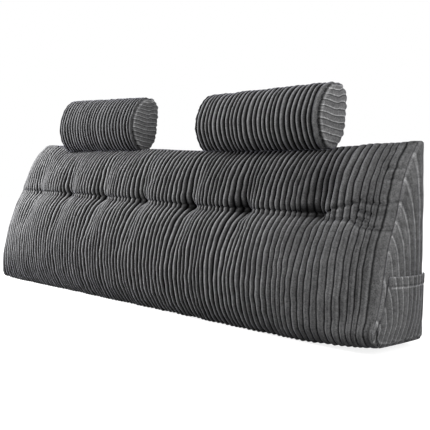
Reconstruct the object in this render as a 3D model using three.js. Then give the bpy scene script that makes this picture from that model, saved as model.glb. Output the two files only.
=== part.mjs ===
// Long wedge pillow for a bed's headboard, in wide-wale corduroy, with seven tufts
// and two bolster headrests on its ridge.
// Millimetres, +Z up. X runs along the pillow, -Y is the side that a back leans on,
// and the flat back stands at +Y. x is 0 half-way between the end seams, and y is 0
// half-way from the belly to the back. At the end the whole part is set on its origin.
import * as THREE from 'three';

// Driving sizes
const SEAM_LENGTH = 1784;      // between the two end seams
const BACK = 116.5;            // y of the flat back
const RIB_COUNT = 100;         // corduroy ribs along the pillow
const RIB_HEIGHT = 4.5;        // crest above groove on the main cover
const SEAM_GAP = 0.3;          // air between two sewn pieces
const SOFT_GAP = 0.5;          // air between a soft piece and the curved one under it
const CROWN_REACH = 550;       // distance from an end where the belly is full
const BASE_EDGE = 9;           // rounding of the edge between base and back

// Ridge height along the pillow: it stands up at the left and sags under each bolster.
const RIDGE = [
  { x: -900, height: 506 },
  { x: -862, height: 515 },
  { x: -800, height: 522 },
  { x: -722, height: 519 },
  { x: -690, height: 510 },
  { x: -650, height: 503 },
  { x: -612, height: 492 },
  { x: -330, height: 490.5 },
  { x: -210, height: 487.5 },
  { x: -150, height: 491 },
  { x: -100, height: 493 },
  { x: -50, height: 490.5 },
  { x: 10, height: 487.5 },
  { x: 100, height: 484.5 },
  { x: 190, height: 480.5 },
  { x: 300, height: 478.5 },
  { x: 460, height: 476.5 },
  { x: 650, height: 476 },
  { x: 685, height: 483 },
  { x: 740, height: 485 },
  { x: 775, height: 488.5 },
  { x: 850, height: 490 },
  { x: 900, height: 493 },
];

// Section of the pillow. rise is a share of the ridge height, and the other columns
// are depths from the flat back: half-way along, at the right seam and at the left.
const SECTION = [
  { name: 'floor', rise: 0, middle: 185, right: 160, left: 199 },
  { name: 'hem', rise: 0.025, middle: 197, right: 181, left: 208 },
  { name: 'low belly', rise: 0.072, middle: 212, right: 188, left: 211 },
  { name: 'belly', rise: 0.154, middle: 227, right: 168, left: 208 },
  { name: 'full belly', rise: 0.266, middle: 233, right: 152, left: 196 },
  { name: 'high belly', rise: 0.389, middle: 227, right: 141, left: 178 },
  { name: 'shoulder', rise: 0.502, middle: 210, right: 128, left: 155 },
  { name: 'turn', rise: 0.584, middle: 189, right: 113, left: 137 },
  { name: 'under crease', rise: 0.628, middle: 172, right: 105, left: 125 },
  { name: 'crease', rise: 0.66, middle: 162, right: 99, left: 118 },
  { name: 'over crease', rise: 0.692, middle: 160, right: 94, left: 111 },
  { name: 'low roll', rise: 0.748, middle: 154, right: 86, left: 97 },
  { name: 'roll', rise: 0.82, middle: 144, right: 74, left: 82 },
  { name: 'high roll', rise: 0.9, middle: 124, right: 53, left: 58 },
  { name: 'brow', rise: 0.958, middle: 102, right: 31, left: 37 },
  { name: 'ridge front', rise: 1, middle: 74, right: 14, left: 16 },
];
// How far the base is drawn up off the floor in each end seam, and over what length.
const BASE_LIFT = { left: 5, right: 17 };
const LIFT_REACH = { left: 150, right: 280 };
const CREASE_RISE = 0.66;
const RIDGE_BACK_DEPTH = { middle: 12, end: 4 };
const BACK_TOP_DROP = 10;      // how far the back edge of the ridge rounds down

// Tufts: where each one is sewn through the front.
const TUFTS = [
  { x: -718, z: 340 },
  { x: -484, z: 338 },
  { x: -266, z: 333 },
  { x: -38, z: 328 },
  { x: 200, z: 317 },
  { x: 432, z: 317 },
  { x: 682, z: 313 },
];
const TUFT_DEPTH = 24;
const TUFT_PULL = 13;          // the wide, shallow hollow round a tuft
const TUFT_RADIUS = { along: 34, up: 24 };
const TUFT_PULL_SPREAD = 2.4;
const CREASE_DEPTH = 10;
const CREASE_HALF_HEIGHT = 17;
const CREASE_END_X = 700;      // right of this the crease fades into the side seam
const CREASE_FADE = 110;
const RIB_GATHER = 9;          // ribs drawn in sideways towards a tuft

// Side panels
const PANEL_THICKNESS = 2.7;
const PANEL_RIB = 3;
const PANEL_CROWN = 12;
const PANEL_PUFF = 0.6;        // below 1, so that a panel puffs out soon after its seam
const PANEL_LEVELS = 8;
const PANEL_FRONT_TRIM = 1.5;  // stops a panel short of the point of its front corner
const RIB_PITCH = SEAM_LENGTH / RIB_COUNT;

// Pocket on the right side panel
const POCKET = { bottom: 25, mouth: 180, margin: 6, bulge: 14, gap: 1, thickness: 2, rib: 2.2 };
const POCKET_PITCH = 16.5;
const POCKET_LEVELS = 5;
const POCKET_FRONT_TRIM = 4;   // stops the pocket short of the point of its front corner

// Bolster headrests. left and right are the cap seams, and the pairs give the height of
// the axis and half the height of the section at each.
const BOLSTERS = [
  { name: 'left', left: -624, right: -156, axis: [588, 577], halfHeight: [99.5, 92] },
  { name: 'right', left: 168, right: 653, axis: [563, 564], halfHeight: [90, 90] },
];
const BOLSTER = { halfDepth: 55, axisDepth: 56, lean: 0.15, ribs: 27, rib: 3.6, sides: 16 };
const BACK_SQUARE = 1.4;       // how much squarer than an oval a bolster's back half is
const SHOULDER = { left: 16, right: 6 };   // rounding where a body turns into a cap seam
const CAP = { rim: 6, crown: 13, dome: 5, ribs: 9, rib: 2.6, across: 4, slant: -0.08 };
const CAP_TIP = 0.985;         // where a cap's outermost ribs stop, as a share of its half
const SEAM_X = SEAM_LENGTH / 2;
const COLUMNS = 2 * RIB_COUNT;

// Looks up a column of a table of rows sorted by key, with straight runs between rows.
function lookUp(table, key, at, column) {
  if (at <= table[0][key]) return table[0][column];
  for (let i = 1; i < table.length; i += 1) {
    if (at <= table[i][key]) {
      const span = table[i][key] - table[i - 1][key];
      const share = (at - table[i - 1][key]) / span;
      return THREE.MathUtils.lerp(table[i - 1][column], table[i][column], share);
    }
  }
  return table[table.length - 1][column];
}

function bell(distance) {
  return Math.exp(-distance * distance);
}

// How full the belly is at x: 0 in an end seam, 1 in the middle stretch.
function fullness(x) {
  const fromEnd = THREE.MathUtils.clamp((SEAM_X - Math.abs(x)) / CROWN_REACH, 0, 1);
  return Math.sqrt(1 - (1 - fromEnd) ** 2);
}

function ridgeHeight(x) {
  return lookUp(RIDGE, 'x', x, 'height');
}

function baseLift(x) {
  const side = x < 0 ? 'left' : 'right';
  const fromEnd = Math.max(SEAM_X - Math.abs(x), 0);
  const share = Math.max(1 - fromEnd / LIFT_REACH[side], 0);
  return BASE_LIFT[side] * share ** 2;
}

// Height of the tufted crease at x, straight from tuft to tuft.
function creaseHeight(x) {
  return lookUp(TUFTS, 'x', x, 'z');
}

function creaseStrength(x) {
  if (x <= CREASE_END_X) return 1;
  return bell((x - CREASE_END_X) / CREASE_FADE);
}

// How far the front is drawn in at x, z by the tufts and the crease between them.
function drawnIn(x, z) {
  const crease = CREASE_DEPTH * creaseStrength(x) * bell((z - creaseHeight(x)) / CREASE_HALF_HEIGHT);
  let tuft = 0;
  for (const place of TUFTS) {
    const along = (x - place.x) / TUFT_RADIUS.along;
    const up = (z - place.z) / TUFT_RADIUS.up;
    const away = Math.hypot(along, up);
    tuft += TUFT_DEPTH * bell(away) + TUFT_PULL * bell(away / TUFT_PULL_SPREAD);
  }
  return crease + tuft;
}

// Ribs lean towards the nearest tuft at its own height.
function gathered(x, z) {
  let shift = 0;
  for (const place of TUFTS) {
    const along = (x - place.x) / (TUFT_RADIUS.along * 1.6);
    const up = (z - place.z) / (TUFT_RADIUS.up * 1.6);
    shift -= RIB_GATHER * along * bell(Math.hypot(along, up));
  }
  return x + shift;
}

// One section of the cover at x, as points { y, z } from the base's front edge up over
// the ridge, down the back and under to the base's back edge.
function sectionAt(x) {
  const height = ridgeHeight(x);
  const full = fullness(x);
  const side = x < 0 ? 'left' : 'right';
  const creaseShift = creaseHeight(x) - CREASE_RISE * height;
  const points = SECTION.map((row) => {
    const share = row.rise <= CREASE_RISE
      ? row.rise / CREASE_RISE
      : (1 - row.rise) / (1 - CREASE_RISE);
    const z = row.rise * height + creaseShift * share;
    const depth = THREE.MathUtils.lerp(row[side], row.middle, full);
    const hollow = row.rise > 0 && row.rise < 1 ? drawnIn(x, z) * Math.sqrt(full) : 0;
    return { y: BACK - depth + hollow, z };
  });
  const ridgeBack = THREE.MathUtils.lerp(RIDGE_BACK_DEPTH.end, RIDGE_BACK_DEPTH.middle, full);
  points.push({ y: BACK - ridgeBack, z: height });
  points.push({ y: BACK, z: height - BACK_TOP_DROP });
  points.push({ y: BACK, z: BASE_EDGE });
  points.push({ y: BACK - BASE_EDGE, z: 0 });
  const lift = baseLift(x);
  return points.map(({ y, z }) => ({ y, z: lift + z * (height - lift) / height }));
}

// Sinks a section along its own outward normal, to make the groove between two ribs.
// Points on the floor stay on the floor.
function sunk(points, amount) {
  const count = points.length;
  return points.map((point, i) => {
    const before = points[(i + count - 1) % count];
    const after = points[(i + 1) % count];
    const along = new THREE.Vector2(after.y - before.y, after.z - before.z).normalize();
    const onFloor = point.z === 0;
    if (onFloor) return { y: point.y + (i === 0 ? amount : -amount), z: 0 };
    return { y: point.y + along.y * amount, z: point.z - along.x * amount };
  });
}

// Makes a closed geometry, with its faces turned outwards whatever order they came in.
function closedGeometry(positions, indices) {
  const corner = (i) => new THREE.Vector3().fromArray(positions, 3 * i);
  let volume = 0;
  for (let i = 0; i < indices.length; i += 3) {
    const a = corner(indices[i]);
    const b = corner(indices[i + 1]);
    const c = corner(indices[i + 2]);
    volume += a.dot(b.cross(c));
  }
  if (volume < 0) indices.reverse();
  const geometry = new THREE.BufferGeometry();
  geometry.setAttribute('position', new THREE.Float32BufferAttribute(positions, 3));
  geometry.setIndex(indices);
  geometry.computeVertexNormals();
  return geometry;
}

// Joins a row of closed rings into one closed body. capOf gives the triangles that close
// an end ring, turning the same way as the ring does.
function loft(rings, capOf) {
  const positions = [];
  const indices = [];
  const size = rings[0].length;
  for (const ring of rings) {
    for (const point of ring) positions.push(point.x, point.y, point.z);
  }
  for (let r = 0; r + 1 < rings.length; r += 1) {
    for (let i = 0; i < size; i += 1) {
      const a = r * size + i;
      const b = r * size + (i + 1) % size;
      indices.push(a, b, a + size, b, b + size, a + size);
    }
  }
  const last = (rings.length - 1) * size;
  for (const [a, b, c] of capOf(rings[0])) indices.push(a, c, b);
  for (const [a, b, c] of capOf(rings[rings.length - 1])) indices.push(last + a, last + b, last + c);
  return closedGeometry(positions, indices);
}

// Closes a convex ring from its first point.
function fanCap(ring) {
  const faces = [];
  for (let i = 1; i + 1 < ring.length; i += 1) faces.push([0, i, i + 1]);
  return faces;
}

// Closes a ring made of an outer run and the inner run back, rung by rung.
function ladderCap(ring) {
  const faces = [];
  const end = ring.length - 1;
  for (let i = 0; i + 1 < ring.length / 2; i += 1) {
    faces.push([i, i + 1, end - i]);
    faces.push([i + 1, end - i - 1, end - i]);
  }
  return faces;
}

// Closes a ring of any outline that lies in a plane of constant x.
function outlineCap(ring) {
  const outline = ring.map((point) => new THREE.Vector2(point.y, point.z));
  const turn = Math.sign(THREE.ShapeUtils.area(outline));
  return THREE.ShapeUtils.triangulateShape(outline, []).map(([a, b, c]) => {
    const facing = THREE.ShapeUtils.area([outline[a], outline[b], outline[c]]);
    return facing * turn > 0 ? [a, b, c] : [a, c, b];
  });
}

function cloth(shade) {
  const color = new THREE.Color().setRGB(shade, shade, shade * 1.03, THREE.SRGBColorSpace);
  return new THREE.MeshStandardMaterial({ color, roughness: 0.95, metalness: 0 });
}

function makeMesh(name, geometry, material) {
  const mesh = new THREE.Mesh(geometry, material);
  mesh.name = name;
  return mesh;
}

// The filled wedge: odd columns run along rib crests, even ones along grooves.
function makeWedge() {
  const rings = [];
  for (let c = 0; c <= COLUMNS; c += 1) {
    const x = -SEAM_X + c * RIB_PITCH / 2;
    const atEnd = c === 0 || c === COLUMNS;
    const crest = sectionAt(x);
    const section = c % 2 === 1 ? crest : sunk(crest, RIB_HEIGHT);
    rings.push(section.map((point, i) => {
      const onFront = i > 0 && i < SECTION.length && !atEnd;
      return new THREE.Vector3(onFront ? gathered(x, point.z) : x, point.y, point.z);
    }));
  }
  return makeMesh('wedge', loft(rings, outlineCap), cloth(0.37));
}

// The end seam as { y, z } points, from the floor up to the ridge.
function seamAt(end) {
  return sectionAt(end * SEAM_X).slice(0, SECTION.length);
}

// y of the end seam at height z.
function seamY(end, z) {
  return lookUp(seamAt(end), 'z', z, 'y');
}

// How far an end panel is puffed out past its own edges at y, z.
function panelCrown(end, y, z) {
  const across = THREE.MathUtils.clamp((BACK - y) / (BACK - seamY(end, z)), 0, 1);
  const up = THREE.MathUtils.clamp(z / ridgeHeight(end * SEAM_X), 0, 1);
  return PANEL_CROWN * (Math.sin(Math.PI * across) * Math.sin(Math.PI * up)) ** PANEL_PUFF;
}

// Lowest and highest z of an end panel along an upright line at y.
function panelSpan(end, y) {
  const seam = seamAt(end);
  const front = seam.reduce((best, point) => (point.y < best.y ? point : best));
  const lower = seam.filter((point) => point.z <= front.z).reverse();
  const upper = seam.filter((point) => point.z >= front.z);
  const [ridgeBack, backTop, backBottom, baseBack] = sectionAt(end * SEAM_X).slice(-4);
  upper.push(ridgeBack, backTop);
  lower.push(baseBack, backBottom);
  return { low: lookUp(lower, 'y', y, 'z'), high: lookUp(upper, 'y', y, 'z'), front: front.y };
}

// An end panel, ribs upright. end is -1 for the left and 1 for the right.
function makeSidePanel(name, end) {
  const inner = SEAM_X + SEAM_GAP;
  const front = panelSpan(end, 0).front + PANEL_FRONT_TRIM;
  const lines = Math.floor((BACK - front) / (RIB_PITCH / 2));
  const rings = [];
  for (let line = 0; line <= lines + 1; line += 1) {
    const y = line <= lines ? BACK - line * RIB_PITCH / 2 : front;
    const { low, high } = panelSpan(end, y);
    const rib = line % 2 === 1 ? PANEL_RIB : 0;
    const outerRun = [];
    const innerRun = [];
    for (let level = 0; level <= PANEL_LEVELS; level += 1) {
      const z = THREE.MathUtils.lerp(low, high, level / PANEL_LEVELS);
      const outer = inner + PANEL_THICKNESS + rib + panelCrown(end, y, z);
      outerRun.push(new THREE.Vector3(end * outer, y, z));
      innerRun.unshift(new THREE.Vector3(end * inner, y, z));
    }
    rings.push([...outerRun, ...innerRun]);
  }
  return makeMesh(name, loft(rings, ladderCap), cloth(0.38));
}

// The patch pocket, ribs upright: sewn down at its sides and bottom, and open at the top.
function makePocket(name, end) {
  const seat = SEAM_X + SEAM_GAP + PANEL_THICKNESS + PANEL_RIB + POCKET.gap;
  const back = BACK - POCKET.margin;
  const front = panelSpan(end, 0).front + POCKET.margin + POCKET_FRONT_TRIM;
  const lines = Math.floor((back - front) / (POCKET_PITCH / 2));
  const rings = [];
  for (let line = 0; line <= lines + 1; line += 1) {
    const y = line <= lines ? back - line * POCKET_PITCH / 2 : front;
    const span = panelSpan(end, y - POCKET.margin);
    const low = Math.max(span.low, POCKET.bottom);
    const high = Math.min(span.high, POCKET.mouth);
    const rib = line % 2 === 1 ? POCKET.rib : 0;
    const outerRun = [];
    const innerRun = [];
    for (let level = 0; level <= POCKET_LEVELS; level += 1) {
      const z = THREE.MathUtils.lerp(low, high, level / POCKET_LEVELS);
      const width = back - POCKET.margin - seamY(end, z);
      const across = THREE.MathUtils.clamp((back - y) / width, 0, 1);
      const up = (z - POCKET.bottom) / (POCKET.mouth - POCKET.bottom);
      const bulge = POCKET.bulge * up ** 0.8 * Math.sin(Math.PI * across) ** 0.7;
      const x = seat + panelCrown(end, y, z) + bulge;
      outerRun.push(new THREE.Vector3(end * (x + POCKET.thickness + rib), y, z));
      innerRun.unshift(new THREE.Vector3(end * x, y, z));
    }
    rings.push([...outerRun, ...innerRun]);
  }
  return makeMesh(name, loft(rings, ladderCap), cloth(0.39));
}

// Reads a bolster's pair of values, one for each cap seam, at x.
function alongBolster(bolster, pair, x) {
  const share = (x - bolster.left) / (bolster.right - bolster.left);
  return THREE.MathUtils.lerp(pair[0], pair[1], share);
}

// How far a bolster's section reaches past an oval in the direction across, up.
function squareness(across, up) {
  const size = Math.hypot(across, up);
  if (size === 0) return 1;
  const power = 2 + BACK_SQUARE * THREE.MathUtils.clamp(2 * across / size, 0, 1);
  return (Math.abs(across / size) ** power + Math.abs(up / size) ** power) ** (-1 / power);
}

// A point of a bolster at x, where across and up run from -1 to 1 over its section.
// It is pressed flat where it lies on the ridge.
function bolsterPoint(bolster, x, across, up, inset) {
  const square = squareness(across, up);
  const rise = up * square * (alongBolster(bolster, bolster.halfHeight, x) - inset);
  const depth = across * square * (BOLSTER.halfDepth - inset);
  const y = BACK - BOLSTER.axisDepth + depth + BOLSTER.lean * rise;
  const z = alongBolster(bolster, bolster.axis, x) + rise;
  return new THREE.Vector3(x, y, Math.max(z, ridgeHeight(x) + SOFT_GAP));
}

// How much smaller the body's section is at a distance from a cap seam.
function shoulderInset(distance, size) {
  const share = Math.min(distance / size, 1);
  return size * (1 - Math.sqrt(1 - (1 - share) ** 2));
}

// The body of a bolster, with its ribs as rings round it.
function makeBolster(bolster) {
  const length = bolster.right - bolster.left;
  const rings = [];
  for (let line = 0; line <= 2 * BOLSTER.ribs; line += 1) {
    const along = length * line / (2 * BOLSTER.ribs);
    const fromLeft = shoulderInset(along, SHOULDER.left);
    const fromRight = shoulderInset(length - along, SHOULDER.right);
    const groove = line % 2 === 1 ? 0 : BOLSTER.rib;
    const inset = Math.max(fromLeft, fromRight) || groove;
    const ring = [];
    for (let side = 0; side < BOLSTER.sides; side += 1) {
      const angle = 2 * Math.PI * (side + 0.5) / BOLSTER.sides;
      ring.push(bolsterPoint(bolster, bolster.left + along, Math.cos(angle), Math.sin(angle), inset));
    }
    rings.push(ring);
  }
  return makeMesh(`bolster_${bolster.name}`, loft(rings, fanCap), cloth(0.38));
}

// A domed end cap of a bolster, with its ribs slanting across it.
function makeCap(bolster, end) {
  const seam = end < 0 ? bolster.left : bolster.right;
  const inset = end < 0 ? SHOULDER.left : SHOULDER.right;
  const rings = [];
  for (let line = 0; line <= 2 * CAP.ribs; line += 1) {
    const over = THREE.MathUtils.lerp(-CAP_TIP, CAP_TIP, line / (2 * CAP.ribs));
    const rib = line % 2 === 1 ? CAP.rib : 0;
    const halfChord = Math.sqrt(1 - over * over);
    const outerRun = [];
    const innerRun = [];
    for (let step = 0; step <= CAP.across; step += 1) {
      const chord = halfChord * (2 * step / CAP.across - 1);
      const across = chord * Math.cos(CAP.slant) - over * Math.sin(CAP.slant);
      const up = chord * Math.sin(CAP.slant) + over * Math.cos(CAP.slant);
      const dome = CAP.crown * (1 - Math.hypot(across, up) ** CAP.dome);
      const point = bolsterPoint(bolster, seam, across, up, inset);
      const base = seam + end * SEAM_GAP;
      outerRun.push(new THREE.Vector3(base + end * (CAP.rim + dome + rib), point.y, point.z));
      innerRun.unshift(new THREE.Vector3(base, point.y, point.z));
    }
    rings.push([...outerRun, ...innerRun]);
  }
  const place = end < 0 ? 'left' : 'right';
  return makeMesh(`bolster_${bolster.name}_cap_${place}`, loft(rings, ladderCap), cloth(0.4));
}

const group = new THREE.Group();
group.add(makeWedge());
group.add(makeSidePanel('side_panel_left', -1));
group.add(makeSidePanel('side_panel_right', 1));
group.add(makePocket('side_pocket_right', 1));
for (const bolster of BOLSTERS) {
  group.add(makeBolster(bolster));
  group.add(makeCap(bolster, -1));
  group.add(makeCap(bolster, 1));
}

// The origin goes to the floor under the middle of the whole part's box.
const box = new THREE.Box3().setFromObject(group);
const centre = box.getCenter(new THREE.Vector3());
group.position.set(-centre.x, -centre.y, -box.min.z);

export default group;
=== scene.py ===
"""Looks of the headboard wedge pillow: a corduroy cover with a tufted crease, puffed side
panels, a patch pocket and two bolster headrests. Tables are in millimetres, as in the
solids, and the mesh of each piece is put into the frame in metres by to_frame()."""

import math

import bpy
import numpy as np
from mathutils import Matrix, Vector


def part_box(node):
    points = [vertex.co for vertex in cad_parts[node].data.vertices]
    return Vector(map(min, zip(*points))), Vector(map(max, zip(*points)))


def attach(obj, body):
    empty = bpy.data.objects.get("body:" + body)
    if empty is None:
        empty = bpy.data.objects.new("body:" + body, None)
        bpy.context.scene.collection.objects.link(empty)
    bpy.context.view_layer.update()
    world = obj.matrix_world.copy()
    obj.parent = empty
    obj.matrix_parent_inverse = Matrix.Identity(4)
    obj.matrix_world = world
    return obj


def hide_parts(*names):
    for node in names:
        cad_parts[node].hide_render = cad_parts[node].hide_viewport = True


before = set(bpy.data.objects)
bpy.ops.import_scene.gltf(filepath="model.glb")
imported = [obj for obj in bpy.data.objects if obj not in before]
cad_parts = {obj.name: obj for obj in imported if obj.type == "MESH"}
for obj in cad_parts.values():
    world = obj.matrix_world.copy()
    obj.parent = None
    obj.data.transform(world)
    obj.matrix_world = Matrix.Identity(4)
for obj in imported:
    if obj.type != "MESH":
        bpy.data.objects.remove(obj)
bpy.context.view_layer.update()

MILLIMETRE = 0.001
TINY = 1e-9

# Driving sizes, the same as the solids'.
SEAM_LENGTH = 1784  # between the end seams
SEAM_X = SEAM_LENGTH / 2
BACK = 116.5  # y of the flat back
RIB_COUNT = 100
SEAM_GAP = 0.3
CROWN_REACH = 550  # from an end seam to where the wedge has its full section
BASE_EDGE = 9
# The ridge, which sags under each bolster, as x and height.
RIDGE = (
    (-900, 506), (-862, 515), (-800, 522), (-722, 519), (-690, 510), (-650, 503),
    (-612, 492), (-330, 490.5), (-210, 487.5), (-150, 491), (-100, 493), (-50, 490.5),
    (10, 487.5), (100, 484.5), (190, 480.5), (300, 478.5), (460, 476.5), (650, 476),
    (685, 483), (740, 485), (775, 488.5), (850, 490), (880, 492.5), (900, 493),
)
# The section, as rise and the depths from the flat back half-way along, at the right seam
# and at the left one.
SECTION = (
    (0, 185, 160, 199),
    (0.025, 197, 181, 208),
    (0.072, 212, 188, 211),
    (0.154, 227, 168, 208),
    (0.266, 233, 152, 196),
    (0.389, 227, 141, 178),
    (0.502, 210, 128, 155),
    (0.584, 189, 113, 137),
    (0.628, 172, 105, 125),
    (0.66, 162, 99, 118),
    (0.692, 160, 94, 111),
    (0.748, 154, 86, 97),
    (0.82, 144, 74, 82),
    (0.9, 124, 53, 58),
    (0.958, 102, 31, 37),
    (1, 74, 14, 16),
)
# How far the base rises to its ends, and over what length.
BASE_LIFT = {"left": 5, "right": 17}
LIFT_REACH = {"left": 150, "right": 280}
CREASE_RISE = 0.66
RIDGE_BACK_DEPTH = {"middle": 12, "end": 4}  # of the ridge's back edge
BACK_TOP_DROP = 10
TUFT_X = (-718, -484, -266, -38, 200, 432, 682)
TUFT_Z = (340, 338, 333, 328, 317, 317, 313)

# Ribs of the cover: places across one rib where the mesh has a column, and its profile.
RIB_STEPS = (0, 0.07, 0.18, 0.34, 0.5, 0.66, 0.82, 0.93)
RIB_ROUNDNESS = 2.1
RIB_UNEVEN = 0.1  # spread of the ribs' widths
GROOVE_SPREAD = 0.08  # spread of the grooves' depths, held within GROOVE_RANGE
GROOVE_RANGE = (0.8, 1.2)
LAST_RIB = 0.78  # share of the first and the last rib that is left outside the end seams
GROOVE_DEPTH = 7.0
TOP_GROOVE = 0.6  # share of that depth on top of the ridge
# Where the grooves get shallower towards the right seam, from x to x, and by what share.
SHALLOW = ((300, 750, 0.3), (830, 880, 0.6))

# Ripples in the cloth: shortest and longest wave, and height.
SWELL = {"waves": (70, 260), "size": 1.1}
MEANDER = {"waves": (35, 180), "size": 1.2, "stretch": 1.7}
KNOTS = {"waves": (24, 90), "size": 0.7}
NEXT_RIB = 37.0  # moves the knots on from one rib to the next
END_FADE = 30  # from an end seam to where the ripples have their full height

# Tufts and crease, finer than in the solids: a pit at each tuft, in a fold that runs up
# to the ridge and down the belly and leaves the cover puffed between two tufts.
TUFT_PIT = (11, 12, 13, 15, 18, 21, 21)
TUFT_RADIUS = (25, 19)  # along and up
FOLD_DEPTH = 17
FOLD_HALF_WIDTH = 46
FOLD_PUFF = 5
FOLD_UP = (45, 165)  # where the fold starts to fade and ends, over the crease and under it
FOLD_DOWN = (40, 170)
CREASE_DEPTH = 6
CREASE_HALF_HEIGHT = 17
CREASE_CUTS = ((6, 4), (-6, 3.2))  # height over the crease and depth of its two sharp folds
CREASE_CUT_HALF = 2.6
CREASE_END_X = 690
CREASE_FADE = 40
RIB_GATHER = 6  # how far a tuft draws the ribs to itself, within GATHER_REACH of its radii
GATHER_REACH = 1.6
# The roll that hangs over the crease and the tufts.
LIP = {"drop": 5, "at_crease": 0.35, "tuft_reach": 42, "most": 1.2, "half_height": 11}
# Fine creases from the last tuft to the right seam, as (x, z) along each one.
END_CREASES = (
    ((700, 318), (733, 330), (755, 335), (781, 341), (809, 349), (837, 345), (863, 341), (892, 350)),
    ((700, 300), (740, 304), (762, 305), (793, 305), (812, 294), (833, 289), (856, 286), (892, 284)),
    ((796, 328), (818, 324), (846, 315)),
    ((800, 310), (840, 302)),
    ((848, 428), (892, 430)),
    ((862, 404), (892, 401)),
)
END_CREASE_DEPTH = 7.5
END_CREASE_HALF = 2.8
END_CREASE_FADE = 6
# Painted shade and highlight along the crease and along the fine creases, as the offset above the
# fold, half-width and change.
CREASE_PAINTED_SHADE = ((6, 2.4, -0.45), (-6, 2.4, -0.3), (0, 2.4, 0.3))
END_CREASE_PAINTED_SHADE = ((0, 2.4, -0.62), (-6, 3, 0.3))
# Places where shade (below 0) or light is painted on the cover: in and above the pits of the right
# tufts, beside the left tufts, under the right bolster, over the upper right, the lower left, the left
# end and along the right seam, as x, z, half-width, half-height and change of tone.
COVER_PAINTED_LIGHT = (
    (185, 322, 26, 15, -0.4),
    (408, 325, 36, 18, -0.5),
    (440, 385, 30, 50, -0.25),
    (646, 324, 42, 16, -0.6),
    (690, 390, 40, 55, -0.3),
    (-706, 344, 16, 24, 0.5),
    (-472, 342, 16, 24, 0.5),
    (-254, 337, 16, 24, 0.45),
    (-26, 332, 16, 24, 0.4),
    (410, 479, 190, 15, -0.95),
    (480, 365, 190, 110, -0.2),
    (560, 425, 180, 60, -0.18),
    (200, 400, 240, 60, -0.08),
    (-780, 60, 170, 50, -0.2),
    (-830, 215, 120, 60, 0.22),
    (880, 380, 60, 90, 0.12),
    (150, 90, 420, 70, 0.13),
    (-850, 30, 90, 30, -0.35),
    (881, 300, 6, 160, 0.5),
)
# Painted shade: the cover darkens from x to x and from z to z.
RIGHT_PAINTED_SHADE = {"x": (520, 720), "z": (190, 250), "by": 0.2}
SHADE_RANGE = (0.12, 1.6)
# Dart at the foot of the right seam: how far its sides stand off the seam half-way up. Its sides are
# drawn as lines of painted shade.
DART = {"z": 54, "half_height": 30, "on_cover": 8, "on_panel": 12}
DART_LINE = {"half": 2.2, "overrun": 4, "fade": 6, "painted_shade_cover": -0.6, "painted_shade_panel": -0.55}
# Crumpled corner at the right end of the ridge, above and right of x and z. Its tone is painted light
# and shade over the crumples, shifted along x by EAR_TONE_SHIFT.
EAR = {"x": 815, "z": 440, "fade": 40, "waves": (13, 42), "size": 2.6, "tone": 0.35}
EAR_EDGE = 0.3  # power below 1, so that the crumples reach almost to the seam
EAR_TONE_SHIFT = 9

# Side panels and pocket
PANEL_THICKNESS = 2.7
PANEL_EDGE = 1.2  # thickness at the seam
PANEL_RIB = 3
PANEL_PITCH = 21
PANEL_CROWN = 12
PANEL_PUFF = 0.6  # below 1, so that a panel puffs out soon after its seam
PANEL_TRIM = {"back": 0.6, "front": 1.0}  # keeps its mesh off the back and the front tip
PANEL_GRID = 1.5
PANEL_LEVELS = 73
PANEL_PUCKERS = {"waves": (40, 160), "size": 0.8}
PANEL_MOTTLE = {"waves": (9, 34), "stretch": (1.6, 0.6), "size": 0.16}
SEAM_POINTS = 200
EDGE_ROUND = 5
SEAM_HIGHLIGHT = {"half": 2.5, "tone": 0.7}  # painted highlight along the seam with the cover
# Rib lines of a side panel bow: how far each is set forward at a height, near the seam.
PANEL_BOW_Z = (0, 30, 60, 110, 150, 200, 260, 320, 380, 440, 500)
PANEL_BOW_Y = (-20, -16, -8, 0, 2, -1, -11, -28, -47, -65, -82)
BOW_REACH = 110  # from the back to where the bow is whole
BOW_POWER = 1.3
RIBS_BEHIND = 10  # keeps the count of ribs above 0 where they bow back

POCKET = {"bottom": 25, "mouth": 180, "margin": 6, "bulge": 14, "gap": 1, "thickness": 2}
POCKET_RIB = 2.2
POCKET_PITCH = 16.5
POCKET_FIRST_RIB = 118.5
POCKET_FRONT_TRIM = 4
BULGE_POWER = {"up": 0.8, "across": 0.7}
# Levels of its mesh below the hem and over it, and the share of the height between them.
POCKET_LEVELS = {"below": 26, "hem": 30, "from": 0.78}
# Rib lines of the pocket: upright at the mouth and set back a little below it.
POCKET_BOW_Z = (25, 45, 55, 65, 75, 90, 105, 130, 160, 181)
POCKET_BOW_Y = (-5, 1, 4, 7, 9, 9.5, 9, 7, 2.5, 0)
HEM = {"depth": 25, "step": 1.5, "thicker": 1.2, "round": 3}
STITCH = {"below": 1, "half": 1.6, "depth": 1.2}
EDGE_SHARE = 0.45  # of the thickness that is left at the pocket's sides and at its mouth
MOUTH_SHARE = 0.55
# Lines of tone, as height over the mouth or over the foot, half-width and change of tone: at the mouth
# a light line of stitches, a darker line just above it and a painted highlight on the mouth's edge; at
# the foot, wavy, a painted highlight over painted shade along the pocket's lower edge.
POCKET_TONE = 1.05
MOUTH_TONES = ((-25, 1.6, 1.8), (-20, 2.2, -0.35), (0, 1.8, 0.6))
FOOT_TONES = ((6, 2.5, 0.6), (1, 2.5, -0.5))
FOOT_WAVE = {"size": 2, "length": 7}

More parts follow.
